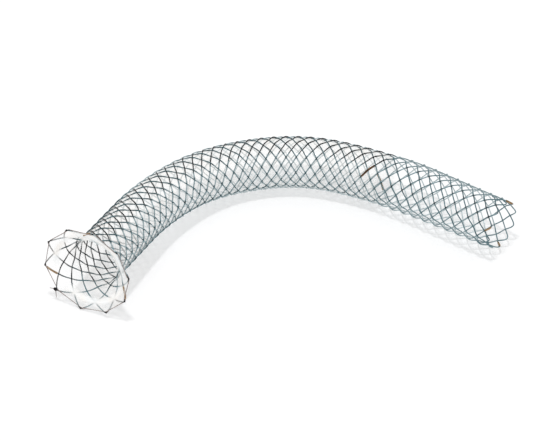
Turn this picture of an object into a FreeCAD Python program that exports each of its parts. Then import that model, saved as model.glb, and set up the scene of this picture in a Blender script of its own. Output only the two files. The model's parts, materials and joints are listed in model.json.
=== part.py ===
"""Biliary stent: a woven wire tube with a flared mouth, lined over most of its length.

One wire is woven into a tube of crossing helical passes. At each end the wire
turns back in a ring of crowns. The flared end and the long middle stretch are
lined with a clear film, and the last stretch is bare. A thread runs from crown
to crown round the flared mouth and is tied in a knot, and short metal sleeves
on the wire show where the ends, the middle and the film's edge lie.

The tube is laid out flat first, mouth at the origin and heading along +Y, with
its bends in the XY plane and a slight bow upwards at the middle. It is then tilted
so that it rests on its lowest crown and on both ends of the bow, as on a table.
"""
import FreeCAD, Part
import math
import os

os.makedirs("parts", exist_ok=True)
doc = FreeCAD.newDocument("biliary_stent")
Vector = FreeCAD.Vector

# Driving dimensions, in millimetres and degrees
sheet = doc.addObject("Spreadsheet::Sheet", "Sizes")
DRIVING_SIZES = (
    ("body_diameter", 10.0, "over the wires along the body"),
    ("bare_end_diameter", 9.36, "over the wires at the bare end"),
    ("bare_taper_length", 24.5, "stretch over which the bare end narrows"),
    ("mouth_diameter", 17.44, "circle through the crown tips of the flare"),
    ("flare_angle", 58.0, "slope of the flare from the tube's axis"),
    ("neck_radius", 2.2, "curve between flare and body"),
    ("lead_length", 17.0, "straight stretch from the mouth, flare included"),
    ("first_bend_radius", 50.0, "gentle bend behind the flare"),
    ("first_bend_angle", 17.5, ""),
    ("main_bend_radius", 28.0, "tight bend at the middle"),
    ("main_bend_angle", 63.0, ""),
    ("last_bend_radius", 58.0, "gentle bend towards the bare end"),
    ("last_bend_angle", 20.5, ""),
    ("tail_length", 16.2, "straight stretch at the bare end"),
    ("bow_height", 0.35, "how far the body bows up between the places it rests on"),
    ("bow_start", 44.0, "from the mouth"),
    ("bow_length", 32.0, ""),
    ("wire_diameter", 0.2, ""),
    ("crossing_gap", 0.03, "between two wires where they cross"),
    ("wire_joint_gap", 0.1, "between the wire's two ends, inside a sleeve"),
    ("crown_count", 10.0, "crowns round each end"),
    ("crown_turn", 26.25, "first crown, from the top towards the outer side"),
    ("crown_flat", 0.4, "width of the rounded top of a crown"),
    ("first_flare_row", 1.9, "from crown tips to first crossings, down the slope"),
    ("second_flare_row", 1.5, "from there to the second crossings"),
    ("neck_row", 1.25, "spacing of the next two rows, round the neck"),
    ("lined_row", 1.1, "row spacing along the lined body"),
    ("bare_row_count", 21.0, "rows in the bare stretch"),
    ("lined_length", 74.0, "from the mouth to the film's edge"),
    ("film_thickness", 0.1, ""),
    ("film_bend_step", 9.0, "turn between two rings of the film in a bend"),
    ("film_edge_run", 1.0, "shortest run of the film between its edge and the next ring"),
    ("film_clearance", 0.03, "between the film and the innermost sleeve"),
    ("film_rim_setback", 0.5, "from the crown tips to the film's rim, down the slope"),
    ("thread_diameter", 0.12, ""),
    ("thread_setback", 0.3, "from the crown tips to the thread, down the slope"),
    ("thread_clearance", 0.04, "between thread and wire"),
    ("knot_crown", 3.0, "number of the crown that carries the knot"),
    ("knot_diameter", 0.7, ""),
    ("knot_tail_length", 1.6, ""),
    ("sleeve_diameter", 0.44, "outside of a marker sleeve"),
    ("sleeve_bore", 0.28, "inside of a marker sleeve"),
    ("sleeve_crossing_gap", 0.3, "from a sleeve's end to the next crossing"),
    ("sleeve_thread_gap", 0.3, "from the thread to a flare sleeve, down the slope"),
    ("edge_sleeve_rows_in", 3.0, "rows from the film's edge in to its sleeves"),
    ("wire_density", 6.45, "in grams for each cubic centimetre"),
    ("film_density", 1.1, "in grams for each cubic centimetre"),
)
for row, (alias, value, note) in enumerate(DRIVING_SIZES, start=1):
    sheet.set(f"A{row}", alias)
    sheet.set(f"B{row}", str(value))
    sheet.set(f"C{row}", note)
    sheet.setAlias(f"B{row}", alias)
doc.recompute()


def size(alias):
    """Value of one driving dimension."""
    return float(sheet.get(alias))


def equal_girth_radius(diameter, corners):
    """Corner radius of a polygon with the same girth as a round strand."""
    return math.pi * diameter / 2 / (corners * math.sin(math.pi / corners))


# The strands are so fine that each has a plain polygon as its section
WIRE_CORNERS = 3
THREAD_CORNERS = 4
CROWNS = int(size("crown_count"))
PASS_STEP = math.pi / CROWNS
FLARE_SLOPE = math.radians(size("flare_angle"))
WIRE_RADIUS = equal_girth_radius(size("wire_diameter"), WIRE_CORNERS)
THREAD_RADIUS = equal_girth_radius(size("thread_diameter"), THREAD_CORNERS)
WEAVE_OFFSET = WIRE_RADIUS + size("crossing_gap") / 2
BODY_RADIUS = size("body_diameter") / 2 - WEAVE_OFFSET - WIRE_RADIUS
BARE_END_RADIUS = size("bare_end_diameter") / 2 - WEAVE_OFFSET - WIRE_RADIUS
MOUTH_RADIUS = size("mouth_diameter") / 2
SLEEVE_RADIUS = size("sleeve_diameter") / 2
FILM_OFFSET = WEAVE_OFFSET + SLEEVE_RADIUS + size("film_clearance")


class Station:
    """A place on the tube's centre line, with the three directions of its cross-section."""

    def __init__(self, centre, heading):
        self.centre = centre
        self.along = Vector(math.sin(heading), math.cos(heading), 0)
        self.outer = Vector(-math.cos(heading), math.sin(heading), 0)
        self.up = Vector(0, 0, 1)

    def radial(self, angle):
        """Unit vector in the cross-section, from the top towards the outer side of the bend."""
        return self.up * math.cos(angle) + self.outer * math.sin(angle)

    def point(self, radius, angle):
        """Point of the cross-section at a radius and an angle."""
        return self.centre + self.radial(angle) * radius


# Centre line: straight, three bends to the right, straight
CENTRE_LINE = (
    ("straight", size("lead_length"), 0.0),
    ("bend", size("first_bend_radius"), math.radians(size("first_bend_angle"))),
    ("bend", size("main_bend_radius"), math.radians(size("main_bend_angle"))),
    ("bend", size("last_bend_radius"), math.radians(size("last_bend_angle"))),
    ("straight", size("tail_length"), 0.0),
)


def stretch_length(kind, length_or_radius, turn):
    """Length of one stretch of the centre line."""
    return length_or_radius if kind == "straight" else length_or_radius * turn


TOTAL_LENGTH = sum(stretch_length(*stretch) for stretch in CENTRE_LINE)


def bow_at(distance):
    """Height of the body's slight bow at a distance from the mouth."""
    share = (distance - size("bow_start")) / size("bow_length")
    return size("bow_height") * math.sin(math.pi * min(max(share, 0.0), 1.0)) ** 2


def station_at(distance):
    """Station at a distance from the mouth along the centre line."""
    centre = Vector(0, 0, 0)
    heading = 0.0
    left = distance
    for index, (kind, extent, turn) in enumerate(CENTRE_LINE):
        length = stretch_length(kind, extent, turn)
        is_last = index == len(CENTRE_LINE) - 1
        run = left if is_last else min(left, length)
        if kind == "straight":
            centre = centre + Vector(math.sin(heading), math.cos(heading), 0) * run
        else:
            bend_centre = centre + Vector(math.cos(heading), -math.sin(heading), 0) * extent
            heading += run / extent
            centre = bend_centre - Vector(math.cos(heading), -math.sin(heading), 0) * extent
        left -= run
        if left <= 0:
            break
    return Station(centre + Vector(0, 0, bow_at(distance)), heading)


# Profile of the flare: a cone, then the neck's curve, then the body
NECK_DROP = size("neck_radius") * (1 - math.cos(FLARE_SLOPE))
CONE_DROP = MOUTH_RADIUS - BODY_RADIUS - NECK_DROP
CONE_SLANT = CONE_DROP / math.sin(FLARE_SLOPE)
NECK_START = CONE_DROP / math.tan(FLARE_SLOPE)
NECK_END = NECK_START + size("neck_radius") * math.sin(FLARE_SLOPE)
NECK_SLANT = size("neck_radius") * FLARE_SLOPE


def body_radius_at(distance):
    """Mean radius of the wire tube behind the flare, narrowing at the bare end."""
    into_taper = (distance - (TOTAL_LENGTH - size("bare_taper_length"))) / size("bare_taper_length")
    share = min(max(into_taper, 0.0), 1.0)
    smooth = share * share * (3 - 2 * share)
    return BODY_RADIUS + (BARE_END_RADIUS - BODY_RADIUS) * smooth


def flare_profile(slant):
    """Distance from the mouth, mean radius and slope, at a length down the flare's slope."""
    if slant <= CONE_SLANT:
        distance = slant * math.cos(FLARE_SLOPE)
        return distance, MOUTH_RADIUS - slant * math.sin(FLARE_SLOPE), FLARE_SLOPE
    turned = (slant - CONE_SLANT) / size("neck_radius")
    if turned < FLARE_SLOPE:
        slope = FLARE_SLOPE - turned
        distance = NECK_END - size("neck_radius") * math.sin(slope)
        return distance, BODY_RADIUS + size("neck_radius") * (1 - math.cos(slope)), slope
    distance = NECK_END + slant - CONE_SLANT - NECK_SLANT
    return distance, body_radius_at(distance), 0.0


def weave_rows():
    """Distance, mean radius and slope at each row of crossings, from mouth to bare end."""
    rows = []
    slant = 0.0
    for step in (0.0, size("first_flare_row"), size("second_flare_row"), size("neck_row"), size("neck_row")):
        slant += step
        rows.append(flare_profile(slant))
    bare_rows = int(size("bare_row_count"))
    first_body = rows[-1][0]
    lined_rows = round((size("lined_length") - first_body) / size("lined_row"))
    if math.gcd(len(rows) - 1 + lined_rows + bare_rows, CROWNS) > 1:
        lined_rows += 1
    lined_spacing = (size("lined_length") - first_body) / lined_rows
    for index in range(1, lined_rows + 1):
        distance = first_body + lined_spacing * index
        rows.append((distance, body_radius_at(distance), 0.0))
    bare_spacing = (TOTAL_LENGTH - size("lined_length")) / bare_rows
    for index in range(1, bare_rows + 1):
        distance = size("lined_length") + bare_spacing * index
        rows.append((distance, body_radius_at(distance), 0.0))
    return rows


ROWS = weave_rows()
LAST_ROW = len(ROWS) - 1
STATIONS = [station_at(row[0]) for row in ROWS]
FIRST_CROWN_ANGLE = math.radians(size("crown_turn"))


def surface_point(row, angle, offset):
    """Point near a row's crossing, raised from the weave's mean surface by an offset."""
    distance, radius, slope = ROWS[row]
    station = STATIONS[row]
    outward = station.radial(angle) * math.cos(slope) + station.along * math.sin(slope)
    return station.point(radius, angle) + outward * offset


def crossing_angle(start_crown, row, outbound):
    """Angle of a pass at a row: outbound passes wind one way, inbound passes the other."""
    sense = 1 if outbound else -1
    return FIRST_CROWN_ANGLE + 2 * PASS_STEP * start_crown + sense * PASS_STEP * row


def crossing_point(start_crown, row, outbound):
    """Centre of the wire at a crossing: over and under in turn, and level at the crowns."""
    if row in (0, LAST_ROW):
        lift = 0.0
    else:
        lift = WEAVE_OFFSET if (row % 2 == 0) == outbound else -WEAVE_OFFSET
    return surface_point(row, crossing_angle(start_crown, row, outbound), lift)


def crown_points(row, angle):
    """Two points that round off a crown's tip, in the order in which the wire passes."""
    half_turn = size("crown_flat") / 2 / ROWS[row][1]
    return [surface_point(row, angle + side * half_turn, 0.0) for side in (-1, 1)]


def wire_route(joint_crown, joint_row):
    """Corner points of the one wire, out and back through every crown.

    It starts and ends half-way along one outbound run, where its two ends meet.
    """
    points = []
    crown = joint_crown
    for _ in range(CROWNS):
        points += crown_points(0, crossing_angle(crown, 0, True))
        points += [crossing_point(crown, row, True) for row in range(1, LAST_ROW)]
        points += crown_points(LAST_ROW, crossing_angle(crown, LAST_ROW, True))
        crown = (crown + LAST_ROW) % CROWNS
        points += [crossing_point(crown, row, False) for row in range(LAST_ROW - 1, 0, -1)]
    after_joint = joint_row + 2
    before, after = points[after_joint - 1], points[after_joint]
    middle = (before + after) * 0.5
    half_gap = (after - before).normalize() * (size("wire_joint_gap") / 2)
    return [middle + half_gap] + points[after_joint:] + points[:after_joint] + [middle - half_gap]


def section_corners(centre, along, up_hint, radius, corners):
    """Corners of a strand's section round a point, square to a direction."""
    side = along.cross(up_hint).normalize()
    up = side.cross(along).normalize()
    turns = [2 * math.pi * corner / corners for corner in range(corners)]
    return [centre + up * radius * math.cos(turn) + side * radius * math.sin(turn) for turn in turns]


def mitred_rings(points, radius, corners, up_hint):
    """Corner points of a strand's section at each point of its route, mitred at the bends."""
    along = [(second - first).normalize() for first, second in zip(points, points[1:])]
    ring = section_corners(points[0], along[0], up_hint, radius, corners)
    rings = [ring]
    for index in range(1, len(points)):
        before = along[index - 1]
        mitre = before + (along[index] if index < len(along) else before)
        centre = points[index]
        ring = [corner + before * ((centre - corner).dot(mitre) / before.dot(mitre)) for corner in ring]
        rings.append(ring)
    return rings


def strand(points, radius, corners, up_hint):
    """Solid strand of flat-sided straight runs along a route, with an end face at each end."""
    rings = [[Part.Vertex(corner) for corner in ring] for ring in mitred_rings(points, radius, corners, up_hint)]
    after = [(corner + 1) % corners for corner in range(corners)]
    hoops = [[Part.Edge(ring[corner], ring[after[corner]]) for corner in range(corners)] for ring in rings]
    faces = [Part.Face(Part.Wire(hoops[0])).reversed(), Part.Face(Part.Wire(hoops[-1]))]
    for index, (near, far) in enumerate(zip(rings, rings[1:])):
        sides = [Part.Edge(near[corner], far[corner]) for corner in range(corners)]
        for corner in range(corners):
            outline = [hoops[index][corner], sides[after[corner]], hoops[index + 1][corner], sides[corner]]
            faces.append(Part.Face(Part.Wire(outline)))
    return Part.Solid(Part.Shell(faces))


# The woven wire
FILM_EDGE_ROW = min(range(len(ROWS)), key=lambda row: abs(ROWS[row][0] - size("lined_length")))
EDGE_SLEEVE_ROW = FILM_EDGE_ROW - int(size("edge_sleeve_rows_in"))
FLARE_SLEEVE_CROWNS = (2, 6, 9)
EDGE_SLEEVE_CROWNS = (5, 0)
END_SLEEVE_CROWNS = (0, 3, 6)
route = wire_route(EDGE_SLEEVE_CROWNS[0], EDGE_SLEEVE_ROW)
wire_frame = doc.addObject("Part::Feature", "WireFrame")
wire_frame.Label = "wire_frame"
wire_frame.Shape = strand(route, WIRE_RADIUS, WIRE_CORNERS, Vector(0, 0, 1))


# The film: a thin tube under the wires, drawn flat between the crossings
FILM_SIDES = 2 * CROWNS
FILM_NECK_STEPS = 3


def film_ring(slant, inset):
    """Ring of the film at a length down the flare's slope, set in from the weave's mean surface."""
    distance, radius, slope = flare_profile(slant)
    station = station_at(distance - inset * math.sin(slope))
    ring_radius = radius - inset * math.cos(slope)
    angles = [FIRST_CROWN_ANGLE + PASS_STEP * side for side in range(FILM_SIDES)]
    ring = [station.point(ring_radius, angle) for angle in angles]
    return Part.makePolygon(ring + [ring[0]])


def film_rim(slant, inset):
    """Ring at the mouth, straight from one crown to the next."""
    distance, radius, slope = flare_profile(slant)
    station = Station(Vector(0, distance - inset * math.sin(slope), 0), 0.0)
    corner_radius = radius - inset * math.cos(slope)
    ring = []
    for side in range(FILM_SIDES):
        side_radius = corner_radius * (1 if side % 2 == 0 else math.cos(PASS_STEP))
        ring.append(station.point(side_radius, FIRST_CROWN_ANGLE + PASS_STEP * side))
    return Part.makePolygon(ring + [ring[0]])


def film_stations(end):
    """Distances along the body at which the film has a ring, closer together in the bends."""
    distances = []
    passed = 0.0
    for index, (kind, extent, turn) in enumerate(CENTRE_LINE):
        length = stretch_length(kind, extent, turn)
        steps = max(1, math.ceil(math.degrees(turn) / size("film_bend_step")))
        is_last = index == len(CENTRE_LINE) - 1
        distances += [passed + length * step / steps for step in range(1, steps + (0 if is_last else 1))]
        passed += length
    last_ring = end - size("film_edge_run")
    return [distance for distance in distances if NECK_END < distance < last_ring] + [end]


def film_body(inset, rim_slant, end):
    """Solid inside of a film surface, from its rim to a distance along the body."""
    slants = [CONE_SLANT + NECK_SLANT * step / FILM_NECK_STEPS for step in range(FILM_NECK_STEPS + 1)]
    rings = [film_rim(rim_slant, inset)] + [film_ring(slant, inset) for slant in slants]
    for distance in film_stations(end):
        rings.append(film_ring(CONE_SLANT + NECK_SLANT + distance - NECK_END, inset))
    return Part.makeLoft(rings, True, True)


OPENING_MARGIN = 1.0
outer_film = film_body(FILM_OFFSET, size("film_rim_setback"), size("lined_length"))
inner_film = film_body(
    FILM_OFFSET + size("film_thickness"),
    size("film_rim_setback") - OPENING_MARGIN,
    size("lined_length") + OPENING_MARGIN,
)
silicone_film = doc.addObject("Part::Feature", "SiliconeFilm")
silicone_film.Label = "silicone_film"
silicone_film.Shape = outer_film.cut(inner_film)


# The thread, over one leg and under the other of each crown, with its knot
def crown_leg(crown, outbound):
    """Top and foot of a crown's leg, and the direction out of the flare's surface there."""
    sense = 1 if outbound else -1
    angle = crossing_angle(crown, 0, outbound)
    top = surface_point(0, angle + sense * size("crown_flat") / 2 / ROWS[0][1], 0.0)
    outward = surface_point(0, angle, 1.0) - surface_point(0, angle, 0.0)
    return top, crossing_point(crown, 1, outbound), outward


def crown_leg_point(crown, outbound, slant, lift=0.0):
    """Point beside a crown's leg, raised from it by a lift."""
    top, foot, outward = crown_leg(crown, outbound)
    return top + (foot - top) * (slant / size("first_flare_row")) + outward * lift


def thread_route():
    """Corner points of the thread, from crown to crown and back to its start."""
    lift = WIRE_RADIUS + THREAD_RADIUS + size("thread_clearance")
    points = []
    for crown in range(CROWNS):
        points.append(crown_leg_point(crown, False, size("thread_setback"), lift))
        points.append(crown_leg_point(crown, True, size("thread_setback"), -lift))
    return points


# The knot lies on the leg of one crown, outside the flare, with a tail to each side
KNOT_CROWN = int(size("knot_crown"))
KNOT_TAILS = ((-0.75, 0.55), (0.35, 0.9))
TAIL_RISE = 0.3
TAIL_DROOP = 0.4
knot_top, knot_foot, off_surface = crown_leg(KNOT_CROWN, False)
knot_lift = size("knot_diameter") / 2 + WIRE_RADIUS + size("thread_clearance")
knot_centre = crown_leg_point(KNOT_CROWN, False, size("thread_setback"), knot_lift)
thread_points = thread_route()
over_knot_leg = 2 * KNOT_CROWN
loop = thread_points[over_knot_leg + 1:] + thread_points[:over_knot_leg]
loop_ends = [knot_centre + (point - knot_centre).normalize() * (size("knot_diameter") / 4)
             for point in (loop[0], loop[-1])]
loop = [loop_ends[0]] + loop + [loop_ends[1]]
round_mouth = (crown_leg(KNOT_CROWN, True)[0] - knot_top).normalize()
up_slope = round_mouth.cross(off_surface).normalize()
if up_slope.dot(knot_top - knot_foot) < 0:
    up_slope = up_slope * -1
tail_run = size("knot_tail_length") / 2
strands = [strand(loop, THREAD_RADIUS, THREAD_CORNERS, Vector(0, 1, 0))]
for sideways, upward in KNOT_TAILS:
    tail_way = (off_surface * TAIL_RISE + round_mouth * sideways + up_slope * upward).normalize()
    bend = knot_centre + tail_way * tail_run
    tip = bend + (tail_way - off_surface * TAIL_DROOP).normalize() * tail_run
    start = knot_centre + tail_way * (size("knot_diameter") / 4)
    strands.append(strand([start, bend, tip], THREAD_RADIUS, THREAD_CORNERS, Vector(0, 1, 0)))
retrieval_thread = doc.addObject("Part::Feature", "RetrievalThread")
retrieval_thread.Label = "retrieval_thread"
retrieval_thread.Shape = Part.makeSphere(size("knot_diameter") / 2, knot_centre).multiFuse(strands)


# Marker sleeves: short tubes on straight runs of the wire, between two crossings
SLEEVE_SIDES = 8


def marker_sleeve(label, start, end, start_gap=size("sleeve_crossing_gap")):
    """Sleeve round the wire's run between two points, short of each by a gap."""
    run = end - start
    direction = FreeCAD.Rotation(Vector(0, 0, 1), run)
    foot = start + run * (start_gap / run.Length)
    name = "".join(word.capitalize() for word in label.split("_"))
    tube = doc.addObject("Part::Prism", name + "Tube")
    tube.setExpression("Circumradius", "Sizes.sleeve_diameter / 2")
    bore = doc.addObject("Part::Prism", name + "Bore")
    bore.setExpression("Circumradius", "Sizes.sleeve_bore / 2")
    for prism in (tube, bore):
        prism.Polygon = SLEEVE_SIDES
        prism.Height = run.Length - start_gap - size("sleeve_crossing_gap")
        prism.Placement = FreeCAD.Placement(foot, direction)
    sleeve = doc.addObject("Part::Cut", name)
    sleeve.Base = tube
    sleeve.Tool = bore
    sleeve.Label = label
    return sleeve


nodes = [wire_frame, silicone_film, retrieval_thread]
for number, crown in enumerate(FLARE_SLEEVE_CROWNS, start=1):
    below_thread = crown_leg_point(crown, True, size("thread_setback") + size("sleeve_thread_gap"))
    nodes.append(marker_sleeve(f"flare_marker_{number}", below_thread, crown_leg(crown, True)[1], 0.0))
for number, crown in enumerate(EDGE_SLEEVE_CROWNS, start=1):
    for part, row in zip(("front", "rear"), (EDGE_SLEEVE_ROW, EDGE_SLEEVE_ROW + 1)):
        ends = [crossing_point(crown, row + step, True) for step in (0, 1)]
        nodes.append(marker_sleeve(f"edge_marker_{number}_{part}", *ends))
for number, crown in enumerate(END_SLEEVE_CROWNS, start=1):
    top = crown_points(LAST_ROW, crossing_angle(crown, LAST_ROW, True))[0]
    nodes.append(marker_sleeve(f"end_marker_{number}", crossing_point(crown, LAST_ROW - 1, True), top))
doc.recompute()


# How the stent rests: the plane under it that three of its points touch
RESTING_TOLERANCE = 1e-7


def height_under(corners, place):
    """Height of the plane through three points, at a place seen from above."""
    normal = (corners[1] - corners[0]).cross(corners[2] - corners[0])
    return corners[0].z - (normal.x * (place.x - corners[0].x) + normal.y * (place.y - corners[0].y)) / normal.z


def surrounds(corners, place):
    """Whether a triangle holds a place, seen from above."""
    turns = []
    for first, second in zip(corners, corners[1:] + corners[:1]):
        edge, reach = second - first, place - first
        turns.append(edge.x * reach.y - edge.y * reach.x)
    return min(turns) >= 0 or max(turns) <= 0


def resting_points(points, balance):
    """Three points that carry the part when its weight acts at the balance point."""
    far = 1000 * TOTAL_LENGTH
    turns = [2 * math.pi * index / 3 for index in range(3)]
    corners = [balance + Vector(far * math.cos(turn), far * math.sin(turn), far) for turn in turns]
    while True:
        lowest = min(points, key=lambda point: point.z - height_under(corners, point))
        if lowest.z - height_under(corners, lowest) > -RESTING_TOLERANCE:
            return corners
        choices = [corners[:index] + [lowest] + corners[index + 1:] for index in range(3)]
        corners = next(choice for choice in choices if surrounds(choice, balance))


wire_solid = wire_frame.Shape.Solids[0]
film_solid = silicone_film.Shape.Solids[0]
wire_weight = wire_solid.Volume * size("wire_density")
film_weight = film_solid.Volume * size("film_density")
both_moments = wire_solid.CenterOfMass * wire_weight + film_solid.CenterOfMass * film_weight
balance_point = both_moments * (1 / (wire_weight + film_weight))
surface_points = [vertex.Point for vertex in wire_frame.Shape.Vertexes]
resting = resting_points(surface_points, balance_point)
plane_normal = (resting[1] - resting[0]).cross(resting[2] - resting[0]).normalize()
if plane_normal.z < 0:
    plane_normal = plane_normal * -1
levelling = FreeCAD.Rotation(plane_normal, Vector(0, 0, 1))
levelled = FreeCAD.BoundBox()
for node in nodes:
    shape = node.Shape.copy()
    shape.Placement = FreeCAD.Placement(Vector(), levelling).multiply(shape.Placement)
    levelled.add(shape.optimalBoundingBox(False))
drop = Vector(-levelled.Center.x, -levelled.Center.y, -levelled.ZMin)
for node in nodes:
    node.Placement = FreeCAD.Placement(drop, levelling)
doc.recompute()

for item in doc.Objects:
    if "Invalid" in item.State or "Error" in item.State:
        raise RuntimeError(f"{item.Label} did not build")
for node in nodes:
    if node.Shape.isNull() or not node.Shape.isValid():
        raise RuntimeError(f"{node.Label} is not a sound solid")
for node in nodes:
    node.Shape.exportStep(f"parts/{node.Label}.step")
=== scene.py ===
"""Look of a biliary stent: a woven wire tube with a flared mouth and a clear film lining.

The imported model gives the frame. The mouth and the bare end are read from it, and every
piece here is built along the centre line between them: the woven wire, the film, the
thread round the mouth with its knot, and the metal sleeves that mark the wire.
"""

import json
import logging
import math
from dataclasses import dataclass, field
from enum import Enum
from typing import Iterable, Mapping, Sequence

import bpy
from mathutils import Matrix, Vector


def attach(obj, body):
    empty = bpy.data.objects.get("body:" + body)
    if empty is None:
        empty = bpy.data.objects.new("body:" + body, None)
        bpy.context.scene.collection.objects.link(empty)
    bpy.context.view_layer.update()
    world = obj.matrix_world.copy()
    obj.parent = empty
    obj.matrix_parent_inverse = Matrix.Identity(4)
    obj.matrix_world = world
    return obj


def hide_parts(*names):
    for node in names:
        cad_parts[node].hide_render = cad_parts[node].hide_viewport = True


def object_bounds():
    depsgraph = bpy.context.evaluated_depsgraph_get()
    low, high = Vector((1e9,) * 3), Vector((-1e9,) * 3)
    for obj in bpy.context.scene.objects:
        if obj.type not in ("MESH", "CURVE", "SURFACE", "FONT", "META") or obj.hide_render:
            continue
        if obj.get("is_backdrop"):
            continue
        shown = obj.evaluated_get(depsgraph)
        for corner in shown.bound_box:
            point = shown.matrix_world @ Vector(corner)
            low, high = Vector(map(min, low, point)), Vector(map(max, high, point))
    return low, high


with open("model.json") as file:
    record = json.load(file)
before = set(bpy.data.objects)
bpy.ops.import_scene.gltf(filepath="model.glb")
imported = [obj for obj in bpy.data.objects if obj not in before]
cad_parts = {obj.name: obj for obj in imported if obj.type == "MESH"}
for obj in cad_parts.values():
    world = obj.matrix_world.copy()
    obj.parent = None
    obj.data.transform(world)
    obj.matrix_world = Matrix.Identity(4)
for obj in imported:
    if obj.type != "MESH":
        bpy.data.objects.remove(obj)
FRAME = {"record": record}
CAD_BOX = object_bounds()

LOG = logging.getLogger("stent")
MM = 0.001
BODY = "root"
Colour = tuple[float, float, float, float]


class Winding(Enum):
    """The two ways in which a pass of the wire winds round the tube."""

    OUTBOUND = 1
    INBOUND = -1


def smooth_step(share: float) -> float:
    """Eased share from 0 to 1, flat at both ends."""
    share = min(max(share, 0.0), 1.0)
    return share * share * (3.0 - 2.0 * share)


@dataclass(frozen=True)
class Band:
    """A range of rows or degrees with a soft edge at each end."""

    start: float
    end: float
    soft: float

    def share(self, value: float) -> float:
        """Share at a value: 1 inside the band, easing to 0 outside."""
        opening = smooth_step((value - self.start) / self.soft + 0.5)
        return opening * smooth_step((self.end - value) / self.soft + 0.5)


@dataclass(frozen=True)
class Rise:
    """A rise from 0 to 1 that starts at a row and takes a number of rows."""

    start: float
    length: float

    def share(self, value: float) -> float:
        """Share of the rise at a value."""
        return smooth_step((value - self.start) / self.length)


def degrees_round(angle: float) -> float:
    """Angle round the tube in degrees, from -180 to 180, with the top at 0."""
    return (math.degrees(angle) + 180.0) % 360.0 - 180.0


@dataclass(frozen=True)
class Stretch:
    """One stretch of the centre line, straight when it has no radius."""

    length: float
    radius: float = 0.0

    @staticmethod
    def bend(radius: float, degrees: float) -> "Stretch":
        """Stretch that turns to the right by an angle."""
        return Stretch(radius * math.radians(degrees), radius)


@dataclass(frozen=True)
class Station:
    """A place on the centre line with the directions of its cross-section."""

    centre: Vector
    along: Vector
    outer: Vector
    up: Vector

    def radial(self, angle: float) -> Vector:
        """Unit vector in the cross-section, from the top towards the outer side of the bend."""
        return self.up * math.cos(angle) + self.outer * math.sin(angle)


@dataclass
class CentreLine:
    """The tube's centre line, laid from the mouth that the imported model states."""

    stretches: Sequence[Stretch] = (
        Stretch(17.0 * MM),
        Stretch.bend(50.0 * MM, 17.5),
        Stretch.bend(28.0 * MM, 63.0),
        Stretch.bend(58.0 * MM, 20.5),
        Stretch(16.2 * MM),
    )
    bow_height: float = 0.35 * MM
    bow_start: float = 44.0 * MM
    bow_length: float = 32.0 * MM
    mouth: Vector = field(init=False)
    along: Vector = field(init=False)
    up: Vector = field(init=False)
    outer: Vector = field(init=False)

    def __post_init__(self) -> None:
        """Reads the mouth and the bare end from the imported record."""
        mounts = {mount["name"]: mount for mount in FRAME["record"]["mounts"]}
        self.mouth = Vector(mounts["flared_mouth"]["pos_m"])
        bare_end = Vector(mounts["bare_end"]["pos_m"])
        self.along = -Vector(mounts["flared_mouth"]["axis"]).normalized()
        self.up = (bare_end - self.mouth).cross(self.along).normalized()
        self.outer = self.up.cross(self.along).normalized()

    @property
    def length(self) -> float:
        """Whole length from the mouth to the bare end."""
        return sum(stretch.length for stretch in self.stretches)

    def station(self, distance: float) -> Station:
        """Finds a place on the centre line.

        Args:
            distance: Length from the mouth, which may lie a little outside the line.

        Returns:
            The station there.
        """
        sideways, forward, heading = 0.0, 0.0, 0.0
        left = distance
        for index, stretch in enumerate(self.stretches):
            is_last = index == len(self.stretches) - 1
            run = left if is_last else min(left, stretch.length)
            if stretch.radius:
                turned = heading + run / stretch.radius
                sideways += stretch.radius * (math.cos(heading) - math.cos(turned))
                forward += stretch.radius * (math.sin(turned) - math.sin(heading))
                heading = turned
            else:
                sideways += run * math.sin(heading)
                forward += run * math.cos(heading)
            left -= run
            if left <= 0.0:
                break
        share = min(max((distance - self.bow_start) / self.bow_length, 0.0), 1.0)
        bow = self.bow_height * math.sin(math.pi * share) ** 2
        centre = self.mouth - self.outer * sideways + self.along * forward + self.up * bow
        along = self.along * math.cos(heading) - self.outer * math.sin(heading)
        outer = self.outer * math.cos(heading) + self.along * math.sin(heading)
        return Station(centre, along, outer, self.up)


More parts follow.
